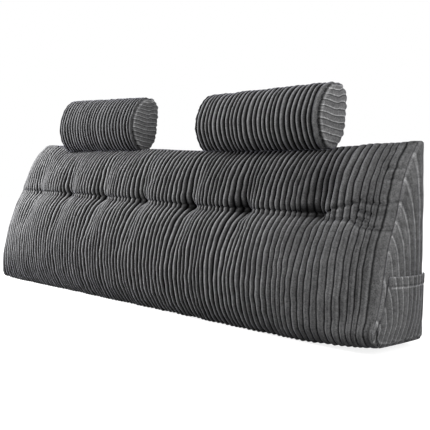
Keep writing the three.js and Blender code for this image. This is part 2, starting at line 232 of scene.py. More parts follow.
# Bolsters: x of their cap seams, and height of the axis and half-height at each of the two; their
# shade is painted shade over the whole bolster, darker on the left one.
BOLSTERS = (
    {
        "name": "left", "left": -624, "right": -156, "axis": (588, 577), "half": (97.5, 90),
        "cap_ribs": 13, "shade": 0.76,
    },
    {
        "name": "right", "left": 168, "right": 653, "axis": (563, 564), "half": (88, 88),
        "cap_ribs": 10, "shade": 1.0,
    },
)
BOLSTER_HALF_DEPTH = 55
BOLSTER_AXIS_DEPTH = 56
BOLSTER_TRIM = 0.8  # drawn in, to make room for the swells
BOLSTER_LEAN = (0.15, 0.04)  # of the upper and the lower half
BOLSTER_SQUARE = (1.4, 0.5)  # how much squarer than an oval their back quarters are
SQUARE_ONSET = 2  # the squareness is whole from half-way back
BOLSTER_SAG = {"depth": 5.5, "power": 8}  # sinking of the underside on to the ridge
SOFT_GAP = 0.2  # between the ridge and a bolster
SOFT_LANDING = 0.3  # rounds the turn from its side to its resting face
BOLSTER_RIBS = 27
BOLSTER_RIB = 4.2
END_GROOVE = {"share": 0.3, "reach": 14}  # of the grooves' depth at a cap's seam
FIRST_TONE = 0.35  # where the first rib's tone starts and the last one's stops
LAST_TONE = 0.55
BOLSTER_SHOULDER = {-1: 16, 1: 6}
BOLSTER_SIDES = 96
BOLSTER_TURN = 70  # millimetres round a bolster for each radian, in its ripples
BOLSTER_SWELL = {"waves": (60, 200), "size": 0.9}
BOLSTER_KNOTS = {"waves": (24, 90), "size": 0.6}
# Painted shade on the bolsters' undersides.
UNDERSIDE_SHADE = {"from": 6 / 11, "darker": 0.6}  # share of the way down from the axis
GATHERS = {"count": 17, "reach": 13, "size": 1.2}
UNEVEN_GATHERS = {"count": 3, "size": 1.3}

CAP_RINGS = 56
CAP_SIDES = 128
CAP_MIDDLE = 0.02  # share of the radius that the middle face takes
CAP_RIM = 6
CAP_EDGE = 0.6  # thickness at the seam
CAP_SHOULDER = 0.88  # share of the radius from which the rim rounds down
CAP_CROWN = 13
CAP_DOME = 5  # power, so that the dome is flat in its middle and falls off at its rim
CAP_RIB = 2.6
CAP_SLANT = -0.08  # radians
CAP_BEND = {"size": 0.03, "turns": 3.1, "start": 2}
CAP_PUCKER = {"size": 1.1, "reach": 0.14}
CAP_SCALLOP = {"gather": 1.2, "rib": 4, "power": 6}
CAP_SEAM_TONE = {"at": 0.93, "half": 0.03, "by": 0.7}
CAP_EDGE_TONE = {"from": 0.96, "to": 0.98, "by": -0.75}

SEED = 20
WAVE_COUNT = 14
USUAL_PEAK = 1.6  # of a sum of waves, against its root mean square

rng = np.random.default_rng(SEED)

low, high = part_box("wedge")
SHIFT = np.array((low[0] / MILLIMETRE + SEAM_X, high[1] / MILLIMETRE - BACK, 0.0))


def to_frame(points):
    return (points + SHIFT) * MILLIMETRE


def bell(distance):
    return np.exp(-distance * distance)


def climb(value, start, stop):
    """0 up to `start` and 1 from `stop` on, straight in between."""
    return np.clip((value - start) / (stop - start), 0, 1)


def smooth_through(knots, values, at):
    """Monotone cubic through values (their last axis follows knots), read off at `at`."""
    knots, at = np.asarray(knots, float), np.asarray(at, float)
    values = np.asarray(values, float)
    step = np.diff(knots)
    slope = np.diff(values, axis=-1) / step
    before, after = slope[..., :-1], slope[..., 1:]
    w1, w2 = 2 * step[1:] + step[:-1], step[1:] + 2 * step[:-1]
    same = before * after > 0
    safe_before = np.where(same, before, 1)
    safe_after = np.where(same, after, 1)
    inner = np.where(same, (w1 + w2) / (w1 / safe_before + w2 / safe_after), 0)
    tangent = np.concatenate([slope[..., :1], inner, slope[..., -1:]], axis=-1)
    i = np.clip(np.searchsorted(knots, at, side="right") - 1, 0, len(knots) - 2)
    h = step[i]
    t = np.clip((at - knots[i]) / h, 0, 1)
    return (
        values[..., i] * (1 + 2 * t) * (1 - t) ** 2
        + h * tangent[..., i] * t * (1 - t) ** 2
        + values[..., i + 1] * t * t * (3 - 2 * t)
        + h * tangent[..., i + 1] * t * t * (t - 1)
    )


class Ripple:
    """Smooth seeded noise over two coordinates in millimetres, from -1 to 1 or so."""

    def __init__(self, shortest, longest):
        length = np.exp(rng.uniform(math.log(shortest), math.log(longest), WAVE_COUNT))
        turn = rng.uniform(0, 2 * math.pi, WAVE_COUNT)
        self.a = 2 * math.pi / length * np.cos(turn)
        self.b = 2 * math.pi / length * np.sin(turn)
        self.phase = rng.uniform(0, 2 * math.pi, WAVE_COUNT)

    def at(self, p, q):
        total = 0
        for a, b, phase in zip(self.a, self.b, self.phase):
            total = total + np.sin(a * p + b * q + phase)
        return total * math.sqrt(2 / WAVE_COUNT) / USUAL_PEAK


def rounded(share):
    """The height of a quarter-round edge: 0 on the edge, and 1 where `share` is 1."""
    return np.sqrt(1 - (1 - np.clip(share, 0, 1)) ** 2)


def fullness(x):
    return rounded((SEAM_X - np.abs(x)) / CROWN_REACH)


def ridge_height(x):
    return smooth_through(*zip(*RIDGE), x)


def crease_height(x):
    return np.interp(x, TUFT_X, TUFT_Z)


def base_lift(x):
    reach = np.where(x < 0, LIFT_REACH["left"], LIFT_REACH["right"])
    share = np.clip(1 - (SEAM_X - np.abs(x)) / reach, 0, 1)
    return np.where(x < 0, BASE_LIFT["left"], BASE_LIFT["right"]) * share**2


def crease_strength(x):
    return np.where(x <= CREASE_END_X, 1, bell((x - CREASE_END_X) / CREASE_FADE))


def cut(off, half):
    """A sharp fold across `off`, 1 deep on its line."""
    return np.exp(-np.abs(off) / half)


def drawn_in(x, z):
    """How far the front is drawn in by the crease, the tufts and their folds."""
    off = z - crease_height(x)
    crease = CREASE_DEPTH * bell(off / CREASE_HALF_HEIGHT)
    for height, depth in CREASE_CUTS:
        crease = crease + depth * cut(off - height, CREASE_CUT_HALF)
    total = crease * crease_strength(x)
    fold = 0
    for tuft_x, tuft_z, pit in zip(TUFT_X, TUFT_Z, TUFT_PIT):
        away = np.hypot((x - tuft_x) / TUFT_RADIUS[0], (z - tuft_z) / TUFT_RADIUS[1])
        total = total + pit * bell(away)
        fold = fold + bell((x - tuft_x) / FOLD_HALF_WIDTH)
    reach = np.where(off > 0, climb(off, *FOLD_UP), climb(-off, *FOLD_DOWN))
    fade = 0.5 + 0.5 * np.cos(math.pi * reach)
    total = total + (FOLD_DEPTH * fold - FOLD_PUFF) * fade
    return total + END_CREASE_DEPTH * end_crease_lines(x, z, END_CREASE_HALF)


def end_crease_lines(x, z, half, offset=0.0):
    """1 along each fine crease at the right end, or along lines `offset` above them."""
    total = 0
    for line in END_CREASES:
        xs, zs = zip(*line)
        along = climb(x - xs[0], -END_CREASE_FADE, END_CREASE_FADE)
        if xs[-1] < SEAM_X:
            along = along * climb(xs[-1] - x, -END_CREASE_FADE, END_CREASE_FADE)
        total = total + along * cut(z - np.interp(x, xs, zs) - offset, half)
    return total


def cover_painted_shade(x, z):
    """Painted shade and light on the cover, as a factor of its tone, where 1 is plain."""
    total = 1 - RIGHT_PAINTED_SHADE["by"] * climb(x, *RIGHT_PAINTED_SHADE["x"]) * climb(z, *RIGHT_PAINTED_SHADE["z"])
    for at_x, at_z, wide, high, change in COVER_PAINTED_LIGHT:
        total = total + change * bell((x - at_x) / wide) * bell((z - at_z) / high)
    off = z - crease_height(x)
    for height, half, change in CREASE_PAINTED_SHADE:
        total = total + change * cut(off - height, half) * crease_strength(x)
    for height, half, change in END_CREASE_PAINTED_SHADE:
        total = total + change * end_crease_lines(x, z, half, height)
    total = total + DART_LINE["painted_shade_cover"] * dart_line(z, SEAM_X - x, DART["on_cover"])
    return np.clip(total, *SHADE_RANGE)


def dart_line(z, off, width):
    """1 along one side of the dart, which stands `width` off the right seam half-way up."""
    up = np.clip((z - DART["z"]) / DART["half_height"], -1, 1)
    to_end = DART["half_height"] + DART_LINE["overrun"] - np.abs(z - DART["z"])
    ends = climb(to_end, 0, DART_LINE["fade"])
    return ends * bell((off - width * np.sqrt(1 - up * up)) / DART_LINE["half"])


def lip_drop(x, z):
    """How far the roll over the crease and over each tuft hangs down."""
    off = z - crease_height(x)
    total = LIP["at_crease"] * crease_strength(x)
    for tuft_x in TUFT_X:
        total = total + bell((x - tuft_x) / LIP["tuft_reach"])
    return LIP["drop"] * np.minimum(total, LIP["most"]) * bell(off / LIP["half_height"] - 1)


def gathered(x, z):
    shift = 0
    for tuft_x, tuft_z in zip(TUFT_X, TUFT_Z):
        along = (x - tuft_x) / (TUFT_RADIUS[0] * GATHER_REACH)
        up = (z - tuft_z) / (TUFT_RADIUS[1] * GATHER_REACH)
        shift = shift - RIB_GATHER * along * bell(np.hypot(along, up))
    return shift


def rib_profile(t):
    """Height of a round rib across its pitch, 1 on its crest and 0 in the groove."""
    return 1 - np.abs(2 * t - 1) ** RIB_ROUNDNESS


def uneven_ribs(count, length):
    """The mesh columns over `count` ribs of uneven width: each one's rib number, its place
    across that rib and its distance along."""
    k = np.append(np.repeat(np.arange(count), len(RIB_STEPS)), count - 1)
    t = np.append(np.tile(RIB_STEPS, count), 1.0)
    width = 1 + RIB_UNEVEN * rng.standard_normal(count)
    edges = np.concatenate([[0], np.cumsum(width / width.sum())]) * length
    return k, t, edges[k] + t * (edges[k + 1] - edges[k])


def groove_sizes(count):
    return np.clip(1 + GROOVE_SPREAD * rng.standard_normal(count), *GROOVE_RANGE)


def surface_normals(points):
    """Unit normals of a grid of points that closes across, before their sign is settled."""
    du = np.gradient(points, axis=0)
    dv = np.roll(points, -1, axis=1) - np.roll(points, 1, axis=1)
    n = np.cross(du, dv)
    return n / np.maximum(np.linalg.norm(n, axis=2, keepdims=True), TINY)


def signed_volume(points, faces):
    """Six times the volume that the faces close off, below 0 where they look inwards."""
    total = 0.0
    for face in faces:
        a = points[face[0]]
        for i in range(1, len(face) - 1):
            total += np.dot(a, np.cross(points[face[i]], points[face[i + 1]]))
    return total


def grid_faces(nu, nv, closed_v):
    """The faces between nu rows of nv points each, in rings where closed_v is true."""
    wide = nv if closed_v else nv - 1
    i, j = np.meshgrid(np.arange(nu - 1), np.arange(wide), indexing="ij")
    a = i * nv + j
    b = i * nv + (j + 1) % nv
    return np.stack([a, b, b + nv, a + nv], axis=-1).reshape(-1, 4)


def end_faces(count, around):
    """The faces that close both ends of a tube of `count` rings of `around` points."""
    last = (count - 1) * around
    return [list(range(around)), list(range(last, last + around))[::-1]]


def make_mesh(name, points, faces, material, ribs, shade, extra_faces=()):
    """Makes an object of points in millimetres, with its faces turned outwards. `ribs` is
    each point's place in the row of ribs: the rib's number plus the share across it.
    `shade` makes the cloth's tone darker or lighter there: painted shade and highlights, lighter
    stitches and the pile's own mottling."""
    flat = np.asarray(points, float).reshape(-1, 3)
    quads = np.asarray(faces)
    q = flat[quads]
    volume = np.einsum("ij,ij->", q[:, 0], np.cross(q[:, 1], q[:, 2]))
    volume += np.einsum("ij,ij->", q[:, 0], np.cross(q[:, 2], q[:, 3]))
    volume += signed_volume(flat, extra_faces)
    all_faces = quads.tolist() + [list(f) for f in extra_faces]
    if volume < 0:
        all_faces = [f[::-1] for f in all_faces]
    mesh = bpy.data.meshes.new(name)
    mesh.from_pydata(to_frame(flat).tolist(), [], all_faces)
    mesh.polygons.foreach_set("use_smooth", [True] * len(mesh.polygons))
    for key, values in (("rib", ribs), ("shade", shade)):
        layer = mesh.attributes.new(key, "FLOAT", "POINT")
        layer.data.foreach_set("value", np.asarray(values, np.float32).reshape(-1))
    mesh.materials.append(material)
    mesh.validate()
    obj = bpy.data.objects.new(name, mesh)
    bpy.context.scene.collection.objects.link(obj)
    return obj


def both_sides(values):
    """One value a point for a shell, the same on its outside and inside."""
    return np.tile(values.reshape(-1), 2)


def shell(outer, inner):
    """One closed shell of two grids of the same size: faces over both and round the rim."""
    nu, nv = outer.shape[:2]
    points = np.concatenate([outer.reshape(-1, 3), inner.reshape(-1, 3)])
    face = grid_faces(nu, nv, False)
    back = face[:, ::-1] + nu * nv
    ids = np.arange(nu * nv).reshape(nu, nv)
    rim = np.concatenate([ids[:, 0], ids[-1, 1:], ids[-2::-1, -1], ids[0, -2:0:-1]])
    after = np.roll(rim, -1)
    side = np.stack([after, rim, rim + nu * nv, after + nu * nv], axis=-1)
    return points, np.concatenate([face, back, side])


# Materials

CLOTH = {
    "Roughness": 0.95,
    "Sheen Weight": 0.5,
    "Sheen Roughness": 0.3,
    "Sheen Tint": (0.84, 0.84, 1.0, 1.0),
    "Specular IOR Level": 0.04,
}
# Noises of the cloth: scale, detail, roughness, and the tones from thin to full.
PILE = {"noise": (330, 2, 0.7), "tone": (0.6, 1.4), "height": (0.4, 1.0)}
LOOSE_TUFTS = {"noise": (120, 2, 0.6), "tone": (0.8, 1.2), "height": (0.5, 1.0)}
PATCHES = {"noise": (11, 3, 0.6), "tone": (0.86, 1.14)}
NOISE_SPAN = (0.3, 0.7)
HEIGHT_SPAN = (0.2, 0.8)
EACH_RIB = (0.88, 1.12)
BUMP = {"Strength": 0.7, "Distance": 0.001}
BLUER = 1.01  # the blue of each grey, against its red and green
# Where the cover's tones, with their painted shade and highlights, turn into those of its right end,
# in metres: along x, less of it above the crease, and at least this much of it near the end seam.
RIGHT_ALONG = (0.42, 0.8, 0, 1)
RIGHT_UP = (0.27, 0.36, 1, 0.25)
RIGHT_END = (0.66, 0.84, 0, 0.85)

# Tone over one rib, as (place, grey) pairs from its left groove to its right one: painted shade, black
# in the grooves, a painted highlight line on one edge, and painted shade again towards the other edge.
RIB_GREY_AND_SHADE = (
    (0, 0.003), (0.12, 0.012), (0.25, 0.2), (0.4, 0.25), (0.6, 0.16), (0.82, 0.045), (0.95, 0.003),
)
# At the right end, lighter grooves and the painted highlight on the ribs' right edges.
END_RIB_GREY_AND_SHADE = (
    (0, 0.03), (0.1, 0.07), (0.2, 0.15), (0.5, 0.12), (0.78, 0.2), (0.88, 0.15), (0.97, 0.03),
)
BOLSTER_GREY_AND_SHADE = (
    (0, 0.002), (0.1, 0.008), (0.25, 0.17), (0.38, 0.21), (0.62, 0.11), (0.84, 0.03), (0.96, 0.002),
)
# On the side panels and the caps, the painted highlights lie along the grooves.
PANEL_GREY_AND_SHADE = (
    (0, 0.3), (0.05, 0.22), (0.13, 0.12), (0.5, 0.14), (0.86, 0.1), (0.95, 0.22), (1, 0.3),
)
CAP_GREY_AND_SHADE = (
    (0, 0.4), (0.07, 0.5), (0.14, 0.23), (0.4, 0.19),
    (0.7, 0.16), (0.86, 0.07), (0.95, 0.1), (1, 0.4),
)


def socket(node, name, value):
    node.inputs[name].default_value = value


class NodeTree:
    """The node tree of one material, with a short call for each kind of node in it."""

    def __init__(self, material):
        material.use_nodes = True
        self.nodes = material.node_tree.nodes
        self.links = material.node_tree.links
        self.shader = self.nodes["Principled BSDF"]

    def link(self, source, target):
        self.links.new(source, target)

    def attribute(self, name):
        node = self.nodes.new("ShaderNodeAttribute")
        node.attribute_name = name
        return node.outputs["Fac"]

    def noise(self, where, scale, detail, roughness):
        node = self.nodes.new("ShaderNodeTexNoise")
        socket(node, "Scale", scale)
        socket(node, "Detail", detail)
        socket(node, "Roughness", roughness)
        self.link(where, node.inputs["Vector"])
        return node.outputs["Fac"]

    def ramp(self, value, low, high, to_low, to_high):
        node = self.nodes.new("ShaderNodeMapRange")
        socket(node, "From Min", low)
        socket(node, "From Max", high)
        socket(node, "To Min", to_low)
        socket(node, "To Max", to_high)
        self.link(value, node.inputs["Value"])
        return node.outputs["Result"]

    def math_of(self, operation, *values):
        node = self.nodes.new("ShaderNodeMath")
        node.operation = operation
        for value, target in zip(values, node.inputs):
            self.link(value, target)
        return node.outputs[0]

    def tone_across(self, place, table):
        node = self.nodes.new("ShaderNodeValToRGB")
        stops = node.color_ramp.elements
        while len(stops) < len(table):
            stops.new(0.5)
        for stop, (at, tone) in zip(stops, table):
            stop.position = at
            stop.color = (tone, tone, tone * BLUER, 1)
        self.link(place, node.inputs["Fac"])
        return node.outputs["Color"]

    def changed_right(self, tone, right_tone, where):
        """`tone` with `right_tone` in its place towards the right end, where the ribs' painted
        highlights move to their right edges.
        """
        parts = self.nodes.new("ShaderNodeSeparateXYZ")
        self.link(where, parts.inputs["Vector"])
        along, up = parts.outputs["X"], parts.outputs["Z"]
        share = self.math_of("MULTIPLY", self.ramp(along, *RIGHT_ALONG), self.ramp(up, *RIGHT_UP))
        share = self.math_of("MAXIMUM", share, self.ramp(along, *RIGHT_END))
        mix = self.nodes.new("ShaderNodeMix")
        mix.data_type = "RGBA"
        self.link(share, mix.inputs["Factor"])
        self.link(tone, mix.inputs["A"])
        self.link(right_tone, mix.inputs["B"])
        return mix.outputs["Result"]

    def scaled(self, tone, shade):
        node = self.nodes.new("ShaderNodeVectorMath")
        node.operation = "SCALE"
        self.link(tone, node.inputs[0])
        self.link(shade, node.inputs["Scale"])
        return node.outputs["Vector"]


def corduroy(name, across, across_right=None):
    """Wide-wale corduroy with the tones of `across` over each rib, painted shade and highlights
    included, which turn into those of `across_right` towards the right end."""
    material = bpy.data.materials.new(name)
    tree = NodeTree(material)
    for key, value in CLOTH.items():
        socket(tree.shader, key, value)
    where = tree.nodes.new("ShaderNodeTexCoord").outputs["Object"]
    row = tree.attribute("rib")
    place = tree.math_of("FRACT", row)
    tone = tree.tone_across(place, across)
    if across_right:
        tone = tree.changed_right(tone, tree.tone_across(place, across_right), where)

    pile, tufts, patches = (tree.noise(where, *kind["noise"]) for kind in (PILE, LOOSE_TUFTS, PATCHES))
    one_rib = tree.nodes.new("ShaderNodeTexWhiteNoise")
    one_rib.noise_dimensions = "1D"
    tree.link(tree.math_of("FLOOR", row), one_rib.inputs["W"])
    shade = tree.attribute("shade")
    for factor in (
        tree.ramp(pile, *NOISE_SPAN, *PILE["tone"]),
        tree.ramp(tufts, *NOISE_SPAN, *LOOSE_TUFTS["tone"]),
        tree.ramp(patches, *NOISE_SPAN, *PATCHES["tone"]),
        tree.ramp(one_rib.outputs["Value"], 0, 1, *EACH_RIB),
    ):
        shade = tree.math_of("MULTIPLY", shade, factor)
    tree.link(tree.scaled(tone, shade), tree.shader.inputs["Base Color"])

    bump = tree.nodes.new("ShaderNodeBump")
    for key, value in BUMP.items():
        socket(bump, key, value)
    pile_height = tree.ramp(pile, *HEIGHT_SPAN, *PILE["height"])
    tuft_height = tree.ramp(tufts, *HEIGHT_SPAN, *LOOSE_TUFTS["height"])
    tree.link(tree.math_of("MULTIPLY", pile_height, tuft_height), bump.inputs["Height"])
    tree.link(bump.outputs["Normal"], tree.shader.inputs["Normal"])
    return material


COVER_CLOTH = corduroy("corduroy_cover", RIB_GREY_AND_SHADE, END_RIB_GREY_AND_SHADE)
PANEL_CLOTH = corduroy("corduroy_panel", PANEL_GREY_AND_SHADE)
BOLSTER_CLOTH = corduroy("corduroy_bolster", BOLSTER_GREY_AND_SHADE)
CAP_CLOTH = corduroy("corduroy_cap", CAP_GREY_AND_SHADE)


# The wedge's cover


def spaced(start, stop, step):
    return list(np.linspace(start, stop, round((stop - start) / step) + 1)[:-1])


# Stretches of the front, as rise, and the spacing of the mesh's rows in each: close over
# the hem and near the ridge, and closest round the crease.
FRONT_SPACING = (
    (0, 0.072, 0.009),
    (0.072, 0.55, 0.024),
    (0.55, 0.58, 0.01),
    (0.58, 0.72, 0.0047),
    (0.72, 0.78, 0.012),
    (0.78, 0.91, 0.009),
    (0.91, 1.0, 0.009),
)
FRONT_ROWS = np.array([rise for stretch in FRONT_SPACING for rise in spaced(*stretch)] + [1.0])
TOP_STEPS = (0.25, 0.5, 0.75, 1)  # rows over the ridge, as shares of its width
RIDGE_ARC = 4  # steps of the turn from the ridge into the back
BACK_STEPS = 9
BASE_ARC = 3
BASE_STEPS = (0, 0.33, 0.67)  # rows along the base, as shares of its depth
USUAL_HEIGHT = 490  # of the front, for the spacing of the section's points
ROUND_RISE = 0.05  # over the hem and under the ridge, where tufts and crease fade out
BELLY_ROW = 20  # a row that faces forward, which settles the sign of the normals


def cover_front(x, rows):
    """y and z of the smooth front at each x (down) and each rise (across), undisplaced."""
    height, full = ridge_height(x)[:, None], fullness(x)[:, None]
    table = np.array(SECTION)
    step = np.hypot(np.diff(table[:, 0]) * USUAL_HEIGHT, np.diff(table[:, 1]))
    knots = np.concatenate([[0], np.cumsum(step)])
    at = np.interp(rows, table[:, 0], knots)
    rise = smooth_through(knots, table[:, 0], at)
    middle, right, left = (smooth_through(knots, table[:, c], at) for c in (1, 2, 3))
    side = np.where(x[:, None] < 0, left[None, :], right[None, :])
    depth = side + (middle[None, :] - side) * full
    share = np.where(rise <= CREASE_RISE, rise / CREASE_RISE, (1 - rise) / (1 - CREASE_RISE))
    shift = crease_height(x)[:, None] - CREASE_RISE * height
    z = rise[None, :] * height + shift * share[None, :]
    fade = np.minimum(1, np.minimum(rise, 1 - rise) / ROUND_RISE)[None, :] * np.sqrt(full)
    hollow = drawn_in(x[:, None], z) * fade
    y = BACK - depth + hollow
    z = z - lip_drop(x[:, None], z) * fade
    lift = base_lift(x)[:, None]
    return y, lift + z * (height - lift) / height


def quarter_turn(y0, z0, y1, z1, y_first, steps):
    """Points between two edges on a quarter turn, which sets off along y or along z."""
    turn = np.linspace(0, math.pi / 2, steps + 1)[1:-1]
    early, late = np.sin(turn), 1 - np.cos(turn)
    for_y, for_z = (early, late) if y_first else (late, early)
    return y0[:, None] + (y1 - y0)[:, None] * for_y, z0[:, None] + (z1 - z0)[:, None] * for_z


def round_cover(x):
    """y and z of the closed outline at each x, undisplaced: up the front, over the ridge,
    down the back and forward along the base."""
    height, lift = ridge_height(x), base_lift(x)
    front_y, front_z = cover_front(x, FRONT_ROWS)
    ridge_front = front_y[:, -1]
    end, middle = RIDGE_BACK_DEPTH["end"], RIDGE_BACK_DEPTH["middle"]
    ridge_back = BACK - (end + (middle - end) * fullness(x))
    back = np.full(len(x), BACK)
    base_back = back - BASE_EDGE
    under_ridge = height - BACK_TOP_DROP
    sides = [(front_y, front_z)]
    for share in TOP_STEPS:
        sides.append((ridge_front + (ridge_back - ridge_front) * share, height))
    sides.append(quarter_turn(ridge_back, height, back, under_ridge, True, RIDGE_ARC))
    for share in np.linspace(0, 1, BACK_STEPS):
        sides.append((back, under_ridge * (1 - share) + (BASE_EDGE + lift) * share))
    sides.append(quarter_turn(back, BASE_EDGE + lift, base_back, lift, False, BASE_ARC))
    for share in BASE_STEPS:
        sides.append((base_back + (front_y[:, 0] - base_back) * share, lift))
    y, z = ([v.reshape(len(x), -1) for v in values] for values in zip(*sides))
    return np.concatenate(y, axis=1), np.concatenate(z, axis=1)


def make_cover():
    k, t, along = uneven_ribs(RIB_COUNT, SEAM_LENGTH)
    x = along - SEAM_X
    y, z = round_cover(x)
    columns, rows = y.shape
    row = np.arange(rows)
    on_front = row < len(FRONT_ROWS)
    on_top = (row >= len(FRONT_ROWS) - 1) & (row < len(FRONT_ROWS) + len(TOP_STEPS))
    on_base = row >= rows - len(BASE_STEPS)

    xx = np.repeat(x[:, None], rows, axis=1)
    inside = climb(SEAM_X - np.abs(xx), 0, END_FADE)
    smooth = np.stack([xx + gathered(xx, z) * on_front * inside, y, z], axis=-1)
    normal = surface_normals(smooth)
    normal *= -np.sign(normal[columns // 2, BELLY_ROW, 1])
    normal[[0, -1], :, 0] = 0

    waves, meander, knots = (Ripple(*kind["waves"]) for kind in (SWELL, MEANDER, KNOTS))
    sizes = groove_sizes(RIB_COUNT)
    place = np.where(k == RIB_COUNT - 1, t * LAST_RIB, np.where(k == 0, 1 - (1 - t) * LAST_RIB, t))
    profile = rib_profile(place)
    depth = GROOVE_DEPTH * (1 - profile) * sizes[k]
    for start, stop, by in SHALLOW:
        depth = depth * (1 - by * climb(x, start, stop))
    sink = depth[:, None] * np.where(on_base, 0, np.where(on_top, TOP_GROOVE, 1))
    bumps = KNOTS["size"] * knots.at(k[:, None] * NEXT_RIB, z)
    sink = sink - bumps * profile[:, None] * inside * on_front
    swell = SWELL["size"] * waves.at(xx, z) * inside * ~(on_base | on_top)
    points = smooth - normal * (sink - swell)[..., None]
    wander = MEANDER["size"] * meander.at(xx * MEANDER["stretch"], z)
    points[..., 0] += wander * inside * on_front

    crumple = Ripple(*EAR["waves"])
    ear = climb(xx - EAR["x"], 0, EAR["fade"]) * climb(z - EAR["z"], 0, EAR["fade"])
    ear = ear * inside**EAR_EDGE
    points[..., 1] += EAR["size"] * crumple.at(xx, z) * ear * on_front
    lift = base_lift(x)[:, None]
    points[..., 2] = np.clip(points[..., 2], lift, ridge_height(x)[:, None])
    points[:, on_base, 2] = lift

    # Painted shade and light on the front and the ridge, with painted light and shade over the
    # crumples at the right end.
    painted_tone = cover_painted_shade(xx, z) * (1 + EAR["tone"] * crumple.at(xx + EAR_TONE_SHIFT, z) * ear)
    shade = 1 + (painted_tone - 1) * (on_front | on_top)
    ribs = np.repeat((k + place)[:, None], rows, axis=1)
    faces = grid_faces(columns, rows, True)
    return make_mesh("cover", points, faces, COVER_CLOTH, ribs, shade, end_faces(columns, rows))


# Side panels and pocket, as meshes


def at_seam(read, end):
    return read(np.array([end * SEAM_X]))[0]


def seam_curve(end):
    y, z = cover_front(np.array([end * SEAM_X]), np.linspace(0, 1, SEAM_POINTS))
    return y[0], z[0]


def seam_y(end, z):
    y, zs = seam_curve(end)
    return np.interp(z, zs, y)


def panel_crown(end, y, z):
    across = np.clip((BACK - y) / (BACK - seam_y(end, z)), 0, 1)
    up = np.clip(z / at_seam(ridge_height, end), 0, 1)
    return PANEL_CROWN * (np.sin(math.pi * across) * np.sin(math.pi * up)) ** PANEL_PUFF


def panel_front(end):
    """The y of an end panel's foremost point."""
    return seam_curve(end)[0].min()


def panel_span(end, y):
    """Lowest and highest z of an end panel along an upright line at y."""
    sy, sz = seam_curve(end)
    tip = int(np.argmin(sy))
    height, lift = at_seam(ridge_height, end), at_seam(base_lift, end)
    upper_y = np.concatenate([sy[tip:], [BACK - RIDGE_BACK_DEPTH["end"], BACK]])
    upper_z = np.concatenate([sz[tip:], [height, height - BACK_TOP_DROP]])
    lower_y = np.concatenate([sy[: tip + 1][::-1], [BACK - BASE_EDGE, BACK]])
    lower_z = np.concatenate([sz[: tip + 1][::-1], [lift, lift + BASE_EDGE]])
    return np.interp(y, lower_y, lower_z), np.interp(y, upper_y, upper_z)


def panel_ribs(y, z):
    """Each point's place in the panel's row of bowed ribs, counted from the back."""
    bow = smooth_through(PANEL_BOW_Z, PANEL_BOW_Y, z)
    near_seam = np.clip((BACK - y) / BOW_REACH, 0, 1) ** BOW_POWER
    return (BACK - y + bow * near_seam) / PANEL_PITCH + RIBS_BEHIND


def make_panel(piece, end):
    inner = SEAM_X + SEAM_GAP
    front = panel_front(end) + PANEL_TRIM["front"]
    y = np.linspace(BACK - PANEL_TRIM["back"], front, int((BACK - front) / PANEL_GRID))
    low_z, high_z = (side[:, None] for side in panel_span(end, y))
    even = np.linspace(0, 1, PANEL_LEVELS)
    level = (even + 0.5 - 0.5 * np.cos(math.pi * even)) / 2
    z = low_z + (high_z - low_z) * level
    yy = np.repeat(y[:, None], PANEL_LEVELS, axis=1)
    ribs = panel_ribs(yy, z)
    to_edge = np.minimum(np.minimum(z - low_z, high_z - z), np.minimum(BACK - yy, yy - front))
    rim = rounded(to_edge / EDGE_ROUND)
    puckers = PANEL_PUCKERS["size"] * Ripple(*PANEL_PUCKERS["waves"]).at(yy, z)
    thick = PANEL_THICKNESS - PANEL_EDGE + PANEL_RIB * rib_profile(ribs % 1) + puckers
    outer = inner + PANEL_EDGE + thick * rim + panel_crown(end, yy, z)
    out = np.stack([end * outer, yy, z], axis=-1)
    back = np.stack([np.full_like(z, end * inner), yy, z], axis=-1)
    points, faces = shell(out, back)

    from_seam = yy - seam_y(end, z)
    along, up = PANEL_MOTTLE["stretch"]
    mottle = Ripple(*PANEL_MOTTLE["waves"]).at(yy * along, z * up)
    # Mottled pile, with a painted highlight along the seam with the cover and, on the right panel, the
    # dart's painted shade.
    shade = 1 + PANEL_MOTTLE["size"] * mottle
    shade = shade + SEAM_HIGHLIGHT["tone"] * bell(from_seam / SEAM_HIGHLIGHT["half"])
    if end > 0:
        dart = dart_line(z, from_seam, DART["on_panel"])
        shade = shade + DART_LINE["painted_shade_panel"] * dart
    return make_mesh(piece, points, faces, PANEL_CLOTH, both_sides(ribs), both_sides(shade))


def pocket_ribs(y, z):
    bow = smooth_through(POCKET_BOW_Z, POCKET_BOW_Y, z)
    return (POCKET_FIRST_RIB - y + bow) / POCKET_PITCH


def pocket_shade(y, z, foot):
    shade = POCKET_TONE
    for height, half, change in MOUTH_TONES:
        shade = shade + change * bell((z - POCKET["mouth"] - height) / half)
    wavy = z - foot + FOOT_WAVE["size"] * np.sin(y / FOOT_WAVE["length"])
    for height, half, change in FOOT_TONES:
        shade = shade + change * bell((wavy - height) / half)
    return shade


